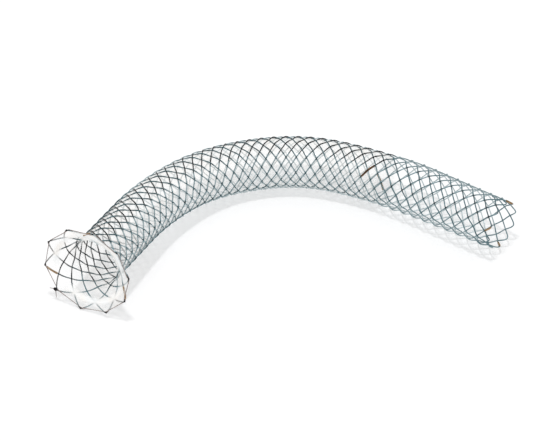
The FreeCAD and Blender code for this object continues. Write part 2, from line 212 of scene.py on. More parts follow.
@dataclass
class Weave:
    """Rows of crossings on the tube's surface, and the shape of the flare."""

    line: CentreLine
    body_diameter: float = 10.0 * MM
    bare_end_diameter: float = 9.36 * MM
    bare_taper_length: float = 24.5 * MM
    mouth_diameter: float = 17.44 * MM
    flare_slope: float = math.radians(58.0)
    neck_radius: float = 2.2 * MM
    wire_diameter: float = 0.23 * MM
    crossing_gap: float = 0.01 * MM
    crowns: int = 10
    first_crown: float = math.radians(26.25)
    flare_steps: Sequence[float] = (1.9 * MM, 1.5 * MM, 1.25 * MM, 1.25 * MM)
    lined_length: float = 74.0 * MM
    lined_rows: int = 64
    bare_rows: int = 21
    slants: list[float] = field(init=False)
    lift: float = field(init=False)
    surface_inset: float = field(init=False)
    body_radius: float = field(init=False)
    end_radius: float = field(init=False)
    cone_slant: float = field(init=False)
    neck_slant: float = field(init=False)
    neck_end: float = field(init=False)

    def __post_init__(self) -> None:
        """Works out the rows' places down the slope from the crown tips."""
        self.lift = (self.wire_diameter + self.crossing_gap) / 2
        self.surface_inset = self.lift + self.wire_diameter / 2
        self.body_radius = self.body_diameter / 2 - self.surface_inset
        self.end_radius = self.bare_end_diameter / 2 - self.surface_inset
        neck_drop = self.neck_radius * (1 - math.cos(self.flare_slope))
        cone_drop = self.mouth_diameter / 2 - self.body_radius - neck_drop
        self.cone_slant = cone_drop / math.sin(self.flare_slope)
        self.neck_end = cone_drop / math.tan(self.flare_slope)
        self.neck_end += self.neck_radius * math.sin(self.flare_slope)
        self.neck_slant = self.neck_radius * self.flare_slope
        self.slants = [0.0]
        for step in self.flare_steps:
            self.slants.append(self.slants[-1] + step)
        flare_end = self.slants[-1]
        lined_end = self.slant_at(self.lined_length)
        bare_end = self.slant_at(self.line.length)
        for start, end, count in (
            (flare_end, lined_end, self.lined_rows),
            (lined_end, bare_end, self.bare_rows),
        ):
            self.slants += [start + (end - start) * step / count for step in range(1, count + 1)]

    @property
    def last_row(self) -> int:
        """Number of the row of crowns at the bare end."""
        return len(self.slants) - 1

    @property
    def film_row(self) -> int:
        """Number of the row at the film's edge."""
        return self.last_row - self.bare_rows

    @property
    def pass_step(self) -> float:
        """Angle that a pass turns through from one row to the next."""
        return math.pi / self.crowns

    def slant_at(self, distance: float) -> float:
        """Length down the slope at a distance along the body."""
        return self.cone_slant + self.neck_slant + distance - self.neck_end

    def tube_radius(self, distance: float) -> float:
        """Mean radius of the body, which narrows at the bare end."""
        share = 1 - (self.line.length - distance) / self.bare_taper_length
        return self.body_radius + (self.end_radius - self.body_radius) * smooth_step(share)

    def profile(self, slant: float) -> tuple[float, float, float]:
        """Shape of the tube's side.

        Args:
            slant: Length down the slope from the crown tips.

        Returns:
            Distance from the mouth, mean radius and slope.
        """
        slope = self.flare_slope
        if slant <= self.cone_slant:
            radius = self.mouth_diameter / 2 - slant * math.sin(slope)
            return slant * math.cos(slope), radius, slope
        turned = (slant - self.cone_slant) / self.neck_radius
        if turned < slope:
            slope -= turned
            distance = self.neck_end - self.neck_radius * math.sin(slope)
            return distance, self.body_radius + self.neck_radius * (1 - math.cos(slope)), slope
        distance = self.neck_end + slant - self.cone_slant - self.neck_slant
        return distance, self.tube_radius(distance), 0.0

    def slant_of_row(self, row: float) -> float:
        """Length down the slope at a row, which may lie between two whole rows."""
        low = min(max(int(math.floor(row)), 0), self.last_row - 1)
        return self.slants[low] + (self.slants[low + 1] - self.slants[low]) * (row - low)

    def place(
        self, row: float, angle: float, lift: float = 0.0, pull: float = 1.0
    ) -> tuple[Vector, Vector]:
        """Finds a point near the tube's surface.

        Args:
            row: Row number, whole or between rows.
            angle: Angle round the tube from its top.
            lift: Height above the mean surface.
            pull: Share of the radius that is kept, where a straight edge cuts the circle.

        Returns:
            The point, and the direction out of the surface there.
        """
        distance, radius, slope = self.profile(self.slant_of_row(row))
        station = self.line.station(distance)
        radial = station.radial(angle)
        outward = radial * math.cos(slope) + station.along * math.sin(slope)
        return station.centre + radial * radius * pull + outward * lift, outward

    def angle(self, crown: float, row: float, winding: Winding) -> float:
        """Angle of a pass at a row, named by the crown of the flare that it starts at."""
        return self.first_crown + self.pass_step * (2 * crown + winding.value * row)

    def wave(self, row: float, winding: Winding) -> float:
        """Lift of a pass at a row: over one crossing and under the next, level at the crowns."""
        fade = min(1.0, row, self.last_row - row)
        return winding.value * self.lift * math.cos(math.pi * row) * fade

    def wire_place(
        self, crown: float, row: float, winding: Winding, lift: float = 0.0
    ) -> tuple[Vector, Vector]:
        """Point on the wire's centre line, or above it, and the way out of the surface."""
        return self.place(row, self.angle(crown, row, winding), self.wave(row, winding) + lift)


def mesh_piece(
    name: str,
    points: Sequence[Vector],
    faces: Iterable[Sequence[int]],
    shades: Mapping[str, Sequence[float]] | None = None,
) -> bpy.types.Object:
    """Makes a smooth-shaded mesh object that rides on the part.

    Args:
        name: Name of the piece.
        points: Its corner points, in metres.
        faces: Corner numbers of each face.
        shades: Named numbers at the points, which the piece's material reads.

    Returns:
        The new object.
    """
    mesh = bpy.data.meshes.new(name)
    mesh.from_pydata([tuple(point) for point in points], [], [tuple(face) for face in faces])
    for shade, values in (shades or {}).items():
        mesh.attributes.new(shade, "FLOAT", "POINT").data.foreach_set("value", values)
    mesh.update()
    mesh.shade_smooth()
    piece = bpy.data.objects.new(name, mesh)
    bpy.context.scene.collection.objects.link(piece)
    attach(piece, BODY)
    return piece


@dataclass
class Tube:
    """Round strand that follows a route, with a way up at each point of it."""

    route: Sequence[Vector]
    ways_up: Sequence[Vector]
    radii: Sequence[float]
    sides: int = 8
    closed: bool = False

    def mesh_data(self) -> tuple[list[Vector], list[tuple[int, ...]]]:
        """Works out the strand's skin.

        Returns:
            Its corner points, and the corner numbers of each face.
        """
        count = len(self.route)
        points: list[Vector] = []
        for index, centre in enumerate(self.route):
            before = self.route[index - 1] if self.closed or index else centre
            after = self.route[(index + 1) % count] if self.closed or index < count - 1 else centre
            along = (after - before).normalized()
            side = along.cross(self.ways_up[index]).normalized()
            up = side.cross(along)
            for corner in range(self.sides):
                turn = 2 * math.pi * corner / self.sides
                way = up * math.cos(turn) + side * math.sin(turn)
                points.append(centre + way * self.radii[index])
        faces: list[tuple[int, ...]] = []
        for index in range(count if self.closed else count - 1):
            near, far = index * self.sides, (index + 1) % count * self.sides
            for corner in range(self.sides):
                turned = (corner + 1) % self.sides
                faces.append((near + corner, near + turned, far + turned, far + corner))
        if not self.closed:
            faces.append(tuple(range(self.sides)))
            last = (count - 1) * self.sides
            faces.append(tuple(last + corner for corner in reversed(range(self.sides))))
        return points, faces


class Nodes:
    """Short ways to add and join the nodes of one material."""

    def __init__(self, name: str) -> None:
        """Starts an empty material with an output."""
        self.material = bpy.data.materials.new(name)
        self.material.use_nodes = True
        self.tree = self.material.node_tree
        self.tree.nodes.clear()
        self.output = self.tree.nodes.new("ShaderNodeOutputMaterial")

    def add(self, kind: str, **values: object) -> bpy.types.Node:
        """Adds a node.

        Args:
            kind: Blender's name of the node's type.
            values: Properties, or input sockets whose spaces are written as underscores.

        Returns:
            The new node.
        """
        node = self.tree.nodes.new(kind)
        for name, value in values.items():
            if hasattr(node, name):
                setattr(node, name, value)
            else:
                node.inputs[name.replace("_", " ")].default_value = value
        return node

    def join(self, source: bpy.types.NodeSocket, target: bpy.types.NodeSocket) -> None:
        """Links one socket to another."""
        self.tree.links.new(source, target)

    def ramp(
        self, source: bpy.types.NodeSocket, stops: Sequence[tuple[float, Colour]]
    ) -> bpy.types.Node:
        """Adds a colour ramp.

        Args:
            source: Socket that feeds it.
            stops: Places from 0 to 1, with the colour at each.

        Returns:
            The new node.
        """
        node = self.add("ShaderNodeValToRGB")
        while len(node.color_ramp.elements) < len(stops):
            node.color_ramp.elements.new(0.5)
        for element, (position, colour) in zip(node.color_ramp.elements, stops):
            element.position = position
            element.color = colour
        self.join(source, node.inputs["Fac"])
        return node

    def shade(self, name: str) -> bpy.types.NodeSocket:
        """Socket with a number that the mesh carries at its points."""
        return self.add("ShaderNodeAttribute", attribute_name=name).outputs["Fac"]

    def noise(self, scale: float, detail: float = 2.0) -> bpy.types.Node:
        """Adds noise that is fixed to the part's own coordinates.

        Args:
            scale: Number of its grains in a metre.
            detail: How fine its smallest grains are.

        Returns:
            The new node.
        """
        node = self.add("ShaderNodeTexNoise", Scale=scale, Detail=detail)
        place = self.add("ShaderNodeTexCoord")
        self.join(place.outputs["Object"], node.inputs["Vector"])
        return node


@dataclass(frozen=True)
class WireFinish:
    """Charcoal oxide on the drawn wire, lightened by painted reflection and shade from charcoal to
    a pale blue-grey, as its tone says.
    """

    charcoal: Colour = (0.012, 0.016, 0.018, 1.0)
    # Blue-grey of the painted reflection down the front of the tube.
    painted_reflection_blue: Colour = (0.12, 0.22, 0.25, 1.0)
    # Pale blue-grey of the painted reflection below and in the mouth's upper lip.
    pale: Colour = (0.66, 0.74, 0.76, 1.0)
    charcoal_until: float = 0.05
    painted_reflection_blue_at: float = 0.5
    metal: float = 0.55
    roughness: float = 0.36
    patch_scale: float = 700.0
    patch_tone: float = 0.25

    def material(self) -> bpy.types.Material:
        """Makes the wire's material."""
        nodes = Nodes("oxide_and_painted_reflection_wire")
        shader = nodes.add("ShaderNodeBsdfPrincipled", Roughness=self.roughness)
        shader.inputs["Metallic"].default_value = self.metal
        patches = nodes.add("ShaderNodeMapRange")
        patches.inputs["To Min"].default_value = -self.patch_tone
        patches.inputs["To Max"].default_value = self.patch_tone
        nodes.join(nodes.noise(self.patch_scale).outputs["Fac"], patches.inputs["Value"])
        tone = nodes.add("ShaderNodeMath", operation="ADD")
        nodes.join(nodes.shade("tone"), tone.inputs[0])
        nodes.join(patches.outputs["Result"], tone.inputs[1])
        # From the charcoal oxide through the painted blue-grey reflection to the painted pale
        # reflection; the noise patches are the oxide's own random tone.
        tints = (self.charcoal_until, self.charcoal), (self.painted_reflection_blue_at, self.painted_reflection_blue), (1.0, self.pale)
        tint = nodes.ramp(tone.outputs[0], tints)
        nodes.join(tint.outputs["Color"], shader.inputs["Base Color"])
        nodes.join(shader.outputs["BSDF"], nodes.output.inputs["Surface"])
        return nodes.material


@dataclass(frozen=True)
class FilmFinish:
    """Clear elastic film, milkier where its cover is high or seen edge on, with a painted glow and
    a painted grey shade.
    """

    cream: Colour = (0.97, 0.94, 0.90, 1.0)
    cool: Colour = (0.94, 0.96, 0.965, 1.0)
    # Grey of the painted shade inside the neck and on the lower body.
    grey: Colour = (0.58, 0.61, 0.63, 1.0)
    cream_until: float = 0.4
    cool_from: float = 0.62
    cloud_scale: float = 420.0
    roughness: float = 0.15
    index: float = 1.43
    edge_blend: float = 0.3
    edge_cover: float = 0.75
    # Painted glow in the cream tint, which brightens the film where it is poorly lit.
    painted_glow: float = 0.16

    def material(self) -> bpy.types.Material:
        """Makes the film's material."""
        nodes = Nodes("clear_film")
        shader = nodes.add("ShaderNodeBsdfPrincipled", Roughness=self.roughness, IOR=self.index)
        shader.inputs["Emission Color"].default_value = self.cream
        shader.inputs["Emission Strength"].default_value = self.painted_glow
        clouds = nodes.noise(self.cloud_scale).outputs["Fac"]
        tint = nodes.ramp(clouds, ((self.cream_until, self.cream), (self.cool_from, self.cool)))
        colour = nodes.add("ShaderNodeMix", data_type="RGBA")
        # Painted grey shade, where the grey share says.
        nodes.join(nodes.shade("grey"), colour.inputs["Factor"])
        nodes.join(tint.outputs["Color"], colour.inputs["A"])
        colour.inputs["B"].default_value = self.grey
        nodes.join(colour.outputs["Result"], shader.inputs["Base Color"])
        edge = nodes.add("ShaderNodeLayerWeight", Blend=self.edge_blend)
        cover = nodes.add("ShaderNodeMapRange")
        nodes.join(nodes.shade("cover"), cover.inputs["To Min"])
        cover.inputs["To Max"].default_value = self.edge_cover
        nodes.join(edge.outputs["Facing"], cover.inputs["Value"])
        most = nodes.add("ShaderNodeMath", operation="MAXIMUM")
        nodes.join(cover.outputs["Result"], most.inputs[0])
        nodes.join(nodes.shade("cover"), most.inputs[1])
        nodes.join(most.outputs[0], shader.inputs["Alpha"])
        nodes.join(shader.outputs["BSDF"], nodes.output.inputs["Surface"])
        return nodes.material


@dataclass(frozen=True)
class ThreadFinish:
    """Twisted thread with fine strands across it."""

    name: str
    light: Colour
    dark: Colour
    roughness: float = 0.7
    strand_scale: float = 6000.0
    strand_relief: float = 0.4
    strand_depth: float = 0.02 * MM

    def material(self) -> bpy.types.Material:
        """Makes the thread's material."""
        nodes = Nodes(self.name)
        shader = nodes.add("ShaderNodeBsdfPrincipled", Roughness=self.roughness)
        strands = nodes.noise(self.strand_scale, 1.0)
        tint = nodes.ramp(strands.outputs["Fac"], ((0.4, self.dark), (0.6, self.light)))
        nodes.join(tint.outputs["Color"], shader.inputs["Base Color"])
        bump = nodes.add("ShaderNodeBump", Strength=self.strand_relief, Distance=self.strand_depth)
        nodes.join(strands.outputs["Fac"], bump.inputs["Height"])
        nodes.join(bump.outputs["Normal"], shader.inputs["Normal"])
        nodes.join(shader.outputs["BSDF"], nodes.output.inputs["Surface"])
        return nodes.material


@dataclass(frozen=True)
class SleeveFinish:
    """Gold-coloured marker metal with a darker, drawn surface."""

    name: str
    light: Colour
    dark: Colour
    metal: float = 0.9
    roughness: float = 0.32
    grain_scale: float = 2500.0

    def material(self) -> bpy.types.Material:
        """Makes the sleeve's material."""
        nodes = Nodes(self.name)
        shader = nodes.add("ShaderNodeBsdfPrincipled", Roughness=self.roughness)
        shader.inputs["Metallic"].default_value = self.metal
        grain = nodes.noise(self.grain_scale).outputs["Fac"]
        tint = nodes.ramp(grain, ((0.35, self.dark), (0.65, self.light)))
        nodes.join(tint.outputs["Color"], shader.inputs["Base Color"])
        nodes.join(shader.outputs["BSDF"], nodes.output.inputs["Surface"])
        return nodes.material


class Finishes(Enum):
    """The finishes of the part's own pieces."""

    WIRE = WireFinish()
    FILM = FilmFinish()
    THREAD = ThreadFinish("brown_thread", (0.42, 0.35, 0.33, 1.0), (0.24, 0.19, 0.18, 1.0))
    KNOT = ThreadFinish("dark_knot", (0.012, 0.010, 0.009, 1.0), (0.004, 0.003, 0.003, 1.0))
    GOLD = SleeveFinish("gold_sleeve", (0.50, 0.33, 0.19, 1.0), (0.20, 0.13, 0.07, 1.0))
    DARK_GOLD = SleeveFinish(
        "dark_gold_sleeve", (0.16, 0.08, 0.035, 1.0), (0.03, 0.018, 0.012, 1.0)
    )


def dress(piece: bpy.types.Object, finish: Finishes, slot: str, *nodes: str) -> None:
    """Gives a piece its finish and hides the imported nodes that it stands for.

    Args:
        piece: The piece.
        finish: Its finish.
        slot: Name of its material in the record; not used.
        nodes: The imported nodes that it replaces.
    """
    piece.data.materials.append(finish.value.material())
    if nodes:
        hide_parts(*nodes)
    LOG.info("%s: %d faces", piece.name, len(piece.data.polygons))


@dataclass
class WireTone:
    """How light the wire's painted reflection and shade make it from place to place, from 0 for
    charcoal to 1 for pale.

    Rows count from the mouth, and sides are degrees round the tube from its top.
    """

    weave: Weave
    # Levels of the painted reflection: blue-grey down the front and pale below.
    painted_reflection_blue: float = 0.68
    under: float = 0.95
    # Painted sheen that lightens one winding on the top and the other below.
    lighter_pass: float = 0.3
    spot_sharpness: float = 4.0
    # Sides of the painted blue-grey reflection down the front.
    front_end: float = -125.0
    front_soft: float = 8.0
    front_start_at_mouth: float = -24.0
    front_start_at_middle: float = -36.0
    front_start_rise: Rise = Rise(0.0, 50.0)
    # Depth of the painted dark reflection spots where passes cross on the front.
    front_spots: float = 0.7
    # Painted blue-grey reflection on the bottom inside the mouth.
    mouth_rows: float = 4.0
    mouth_floor: Band = Band(140.0, 200.0, 30.0)
    mouth_floor_tone: float = 0.7
    # The top side stays charcoal, and the painted pale reflection lies below it from row 14 on.
    above: Band = Band(-128.0, 36.0, 12.0)
    under_rise: Rise = Rise(14.0, 8.0)
    # Sides and depth of the painted dark reflection spots where bare passes cross.
    bare_spot_sides: Band = Band(-80.0, 0.0, 10.0)
    bare_spots: float = 0.75
    # Painted shade on the front of the bare part, deeper on inbound passes.
    bare_front: Band = Band(-104.0, 10.0, 30.0)
    bare_front_inbound: float = 0.2
    bare_front_outbound: float = 0.08
    # Painted blue-grey shade on both flanks and at the bare end.
    bare_flank: Band = Band(-140.0, 50.0, 14.0)
    bare_flank_shade: float = 0.32
    bare_end_rise: Rise = Rise(-4.5, 2.0)
    bare_end_shade: float = 0.45
    film_edge_rise: Rise = Rise(-1.0, 3.0)
    # Painted highlight of the film's gloss over the wire in the mouth's upper lip, which also
    # shortens the dark crown tips there.
    lip_highlight_rows: Band = Band(-1.0, 3.6, 0.4)
    lip_highlight_sides: Band = Band(-77.0, 22.0, 8.0)
    crown_dark_rows: float = 0.12
    crown_fade_rows: float = 0.3
    lip_crown_dark: float = 0.7
    lip_crown_fade: float = 0.2

    def at_crossing(self, row: float) -> float:
        """Share of the painted dark reflection spot where two passes cross."""
        return smooth_step(1.0 - self.spot_sharpness * abs(row - round(row)))

    def lined(self, row: float, angle: float, winding: Winding) -> float:
        """Tone under the film, painted reflection and shade: black on top, blue-grey down the front
        and pale below.

        Args:
            row: Row number, whole or between rows.
            angle: Angle round the tube from its top.
            winding: Way in which the pass winds.

        Returns:
            The tone there.
        """
        turned = degrees_round(angle)
        # Painted reflection: blue-grey down the front and on the bottom of the mouth, pale below.
        drop = self.front_start_at_middle - self.front_start_at_mouth
        front_start = self.front_start_at_mouth + drop * self.front_start_rise.share(row)
        front = Band(self.front_end, front_start, self.front_soft).share(turned)
        # Painted dark reflection spots where passes cross.
        front *= 1.0 - self.front_spots * self.at_crossing(row)
        if row < self.mouth_rows:
            front = max(front, self.mouth_floor_tone * self.mouth_floor.share(abs(turned)))
        below = (1.0 - self.above.share(turned)) * self.under_rise.share(row)
        # Painted sheen on one winding on the top and the other below.
        lighter = self.lighter_pass * max(0.0, -winding.value * math.cos(angle))
        return max(self.painted_reflection_blue * front, self.under * below, lighter)

    def uncovered(self, row: float, angle: float, winding: Winding) -> float:
        """Tone past the film, painted reflection and shade: blue-grey on both flanks and at the
        end, and pale elsewhere.

        Args:
            row: Row number, whole or between rows.
            angle: Angle round the tube from its top.
            winding: Way in which the pass winds.

        Returns:
            The tone there.
        """
        turned = degrees_round(angle)
        # Painted dark reflection spots where bare passes cross.
        spots = self.bare_spot_sides.share(turned) * self.at_crossing(row)
        is_inbound = winding is Winding.INBOUND
        # Painted shade on the front, deeper on inbound passes, and on the flanks and the end.
        darker = self.bare_front_inbound if is_inbound else self.bare_front_outbound
        flank = self.bare_flank_shade * self.bare_flank.share(turned)
        end = self.bare_end_shade * self.bare_end_rise.share(row - self.weave.last_row)
        tone = 1.0 - max(flank, end) - darker * self.bare_front.share(turned)
        return tone * (1.0 - self.bare_spots * spots)

    def at(self, row: float, angle: float, winding: Winding) -> float:
        """Tone of the whole wire, with a painted highlight that makes it pale in the film's upper
        lip, and dark on the crowns' tips.

        Args:
            row: Row number, whole or between rows.
            angle: Angle round the tube from its top.
            winding: Way in which the pass winds.

        Returns:
            The tone there.
        """
        tone = self.lined(row, angle, winding)
        past_film = self.film_edge_rise.share(row - self.weave.film_row)
        tone += (self.uncovered(row, angle, winding) - tone) * past_film
        # Painted highlight: the wire turns pale in the mouth's upper lip.
        lip = self.lip_highlight_rows.share(row) * self.lip_highlight_sides.share(degrees_round(angle))
        tone += (1.0 - tone) * lip
        dark_rows = self.crown_dark_rows * (1.0 - self.lip_crown_dark * lip)
        fade_rows = self.crown_fade_rows - self.lip_crown_fade * lip
        return tone * smooth_step((row - dark_rows) / fade_rows)


@dataclass
class WovenWire:
    """The one wire, out and back through every crown."""

    weave: Weave
    steps_per_row: int = 4
    steps_at_crown: int = 10
    sides: int = 8
    flare_crown_round: float = 0.1
    bare_crown_round: float = 0.5
    bare_ridge: float = 0.08 * MM
    ridge_rows: float = 3.0
    ridge_end_rows: float = 2.0
    ridge_off_floor: float = 0.25

    def phases(self) -> list[float]:
        """Lists the places along one pass.

        Returns:
            Their row numbers, closer together near its two crowns.
        """
        last = self.weave.last_row
        near = [step / self.steps_at_crown for step in range(self.steps_at_crown)]
        middle = [1 + step / self.steps_per_row for step in range((last - 2) * self.steps_per_row)]
        far = [last - share for share in reversed([0.0] + near[1:] + [1.0])]
        return near + middle + far

    def rounded(self, phase: float) -> float:
        """Eases a pass at its two crowns, so that they are round and not sharp.

        Args:
            phase: Row number along the pass.

        Returns:
            The row that it has reached.
        """
        last = self.weave.last_row
        row = phase
        for left, soft, sign in (
            (phase, self.flare_crown_round, 1),
            (last - phase, self.bare_crown_round, -1),
        ):
            if left < 1.0:
                eased = (left * left + soft * soft) / (2 * soft) if left < soft else left
                eased -= soft / 2 * (1.0 - left)
                row = eased if sign > 0 else last - eased
        return row

    def ridge(self, phase: float, angle: float) -> float:
        """Raises the bare wire at every other row, but for the side that it lies on.

        Args:
            phase: Row number along the pass.
            angle: Angle round the tube from its top.

        Returns:
            The added height.
        """
        past_film = smooth_step((phase - self.weave.film_row) / self.ridge_rows)
        before_end = smooth_step((self.weave.last_row - phase) / self.ridge_end_rows)
        off_floor = smooth_step((1.0 + math.cos(angle)) / self.ridge_off_floor)
        height = self.bare_ridge * (1.0 - math.cos(math.pi * phase))
        return height * past_film * before_end * off_floor

    def place(self, crown: int, phase: float, winding: Winding) -> tuple[Vector, Vector]:
        """Finds a place on the wire.

        Args:
            crown: Crown of the flare that the pass starts at.
            phase: Row number along the pass.
            winding: Way in which the pass winds.

        Returns:
            The point, and the direction out of the surface there.
        """
        angle = self.weave.angle(crown, phase, winding)
        lift = self.weave.wave(phase, winding) + self.ridge(phase, angle)
        return self.weave.place(self.rounded(phase), angle, lift)

    def build(self) -> bpy.types.Object:
        """Builds the whole wire as one closed strand."""
        phases = self.phases()
        steps: list[tuple[int, float, Winding]] = []
        crown = 0
        for _ in range(self.weave.crowns):
            steps += [(crown, phase, Winding.OUTBOUND) for phase in phases[:-1]]
            crown = (crown + self.weave.last_row) % self.weave.crowns
            steps += [(crown, phase, Winding.INBOUND) for phase in reversed(phases[1:])]
        places = [self.place(*step) for step in steps]
        route = [point for point, _ in places]
        ways_up = [outward for _, outward in places]
        radii = [self.weave.wire_diameter / 2] * len(route)
        strand = Tube(route, ways_up, radii, self.sides, closed=True)
        # Painted reflection and shade of the wire, stored as a tone at each point.
        tone = WireTone(self.weave)
        tones = []
        for crown, phase, winding in steps:
            tones += [tone.at(phase, self.weave.angle(crown, phase, winding), winding)] * self.sides
        piece = mesh_piece("woven_wire", *strand.mesh_data(), {"tone": tones})
        dress(piece, Finishes.WIRE, "nitinol_wire", "wire_frame")
        return piece


@dataclass
class FilmBody:
    """How milky and how grey the film is from place to place: the grey is painted shade, and the
    white upper lip a painted highlight.

    Rows count from the mouth, and sides are degrees round the tube from its top.
    """

    flare_cover: float = 0.16
    ring_cover: float = 0.95
    upper_cover: float = 0.34
    lower_cover: float = 0.1
    body_rise: Rise = Rise(3.0, 3.0)
    ring_rows: Band = Band(0.72, 1.4, 0.3)
    knot_side: Band = Band(98.0, 138.0, 22.0)
    near_side: Band = Band(-112.0, -82.0, 14.0)
    near_side_thinning: float = 0.6
    # Painted highlight: the film turns opaque white in the mouth's upper lip.
    lip_highlight_rows: Band = Band(-1.0, 3.3, 0.3)
    lip_highlight_sides: Band = Band(-74.0, 22.0, 12.0)
    # Painted grey shade inside the neck and on the lower body.
    neck_rows: Band = Band(3.4, 5.2, 0.8)
    neck_sides: Band = Band(-120.0, 20.0, 40.0)
    neck_grey: float = 0.8
    body_grey: float = 0.35
    body_grey_rise: Rise = Rise(6.0, 6.0)
    body_grey_height: float = 0.6

    def ring(self, row: float, angle: float) -> float:
        """Share of the opaque white ring, which thins out on the side of the knot.

        Args:
            row: Row number, whole or between rows.
            angle: Angle round the tube from its top.

        Returns:
            The share, from 0 to 1.
        """
        turned = degrees_round(angle)
        near_side = self.near_side_thinning * self.near_side.share(turned)
        return self.ring_rows.share(row) * (1.0 - max(self.knot_side.share(turned), near_side))

    def cover(self, row: float, angle: float) -> float:
        """Share of what lies behind that the film hides, where it is seen straight on.

        Args:
            row: Row number, whole or between rows.
            angle: Angle round the tube from its top.

        Returns:
            The share, from 0 to 1.
        """
        height = 0.5 + 0.5 * math.cos(angle)
        body = self.lower_cover + (self.upper_cover - self.lower_cover) * height
        cover = self.flare_cover + (body - self.flare_cover) * self.body_rise.share(row)
        # The opaque white upper lip is a painted highlight.
        lip = self.lip_highlight_rows.share(row) * self.lip_highlight_sides.share(degrees_round(angle))
        return max(cover, self.ring_cover * max(self.ring(row, angle), lip))

    def grey(self, row: float, angle: float) -> float:
        """Share of painted grey shade in the film's tint, inside the neck and on the lower body.

        Args:
            row: Row number, whole or between rows.
            angle: Angle round the tube from its top.

        Returns:
            The share, from 0 to 1.
        """
        # Painted grey shade inside the neck and on the lower body.
        neck = self.neck_rows.share(row) * self.neck_sides.share(degrees_round(angle))
        body = self.body_grey * self.body_grey_rise.share(row)
        body *= smooth_step(-math.cos(angle) + self.body_grey_height)
        return max(self.neck_grey * neck, body)


@dataclass
class Film:
    """The clear film, drawn in a little between the wires and straight from crown to crown."""

    weave: Weave
    body: FilmBody
    inset: float = 0.05 * MM
    sag: float = 0.09 * MM
    ring_depth: float = 0.2 * MM
    rim_row: float = 0.05
    columns_per_step: int = 4
    rings_per_row: int = 3

    def pull(self, row: float, column: float) -> float:
        """Draws the rim in to a straight edge between two crowns.

        Args:
            row: Row number, whole or between rows.
            column: Column number, in half crowns.

        Returns:
            The share of the radius that is kept.
        """
        if row >= 1.0:
            return 1.0
        off_middle = column % 2 - 1
        chord = math.cos(self.weave.pass_step) / math.cos(self.weave.pass_step * off_middle)
        return 1.0 + (chord - 1.0) * (1.0 - row)

    def point(self, row: float, column: float) -> Vector:
        """Finds a point of the film, which sags a little between the wires.

        Args:
            row: Row number, whole or between rows.
            column: Column number, in half crowns.

        Returns:
            The point.
        """
        before, after = math.pi * (column - row) / 2, math.pi * (column + row) / 2
        cell = abs(math.sin(before) * math.sin(after))
        angle = self.weave.first_crown + self.weave.pass_step * column
        lift = -self.inset - self.sag * cell - self.ring_depth * self.body.ring(row, angle)
        return self.weave.place(row, angle, lift, self.pull(row, column))[0]

    def build(self) -> bpy.types.Object:
        """Builds the film as one sheet from its rim to its edge on the body."""
        last_ring = self.weave.film_row * self.rings_per_row
        rows = [self.rim_row]
        rows += [step / self.rings_per_row for step in range(1, last_ring + 1)]
        count = 2 * self.weave.crowns * self.columns_per_step
        grid = [(row, column / self.columns_per_step) for row in rows for column in range(count)]
        points = [self.point(row, column) for row, column in grid]
        start, step_round = self.weave.first_crown, self.weave.pass_step
        places = [(row, start + step_round * column) for row, column in grid]
        shades = {
            "cover": [self.body.cover(row, angle) for row, angle in places],
            "grey": [self.body.grey(row, angle) for row, angle in places],
        }
        faces = []
        for ring in range(len(rows) - 1):
            for column in range(count):
                after = (column + 1) % count
                near, far = ring * count, (ring + 1) * count
                faces.append((near + column, near + after, far + after, far + column))
        piece = mesh_piece("film_lining", points, faces, shades)
        dress(piece, Finishes.FILM, "clear_film", "silicone_film")
        return piece


@dataclass(frozen=True)
class Tail:
    """One free end of the thread: its name, its way from the knot and its length."""

    name: str
    around: float
    up_slope: float
    length: float


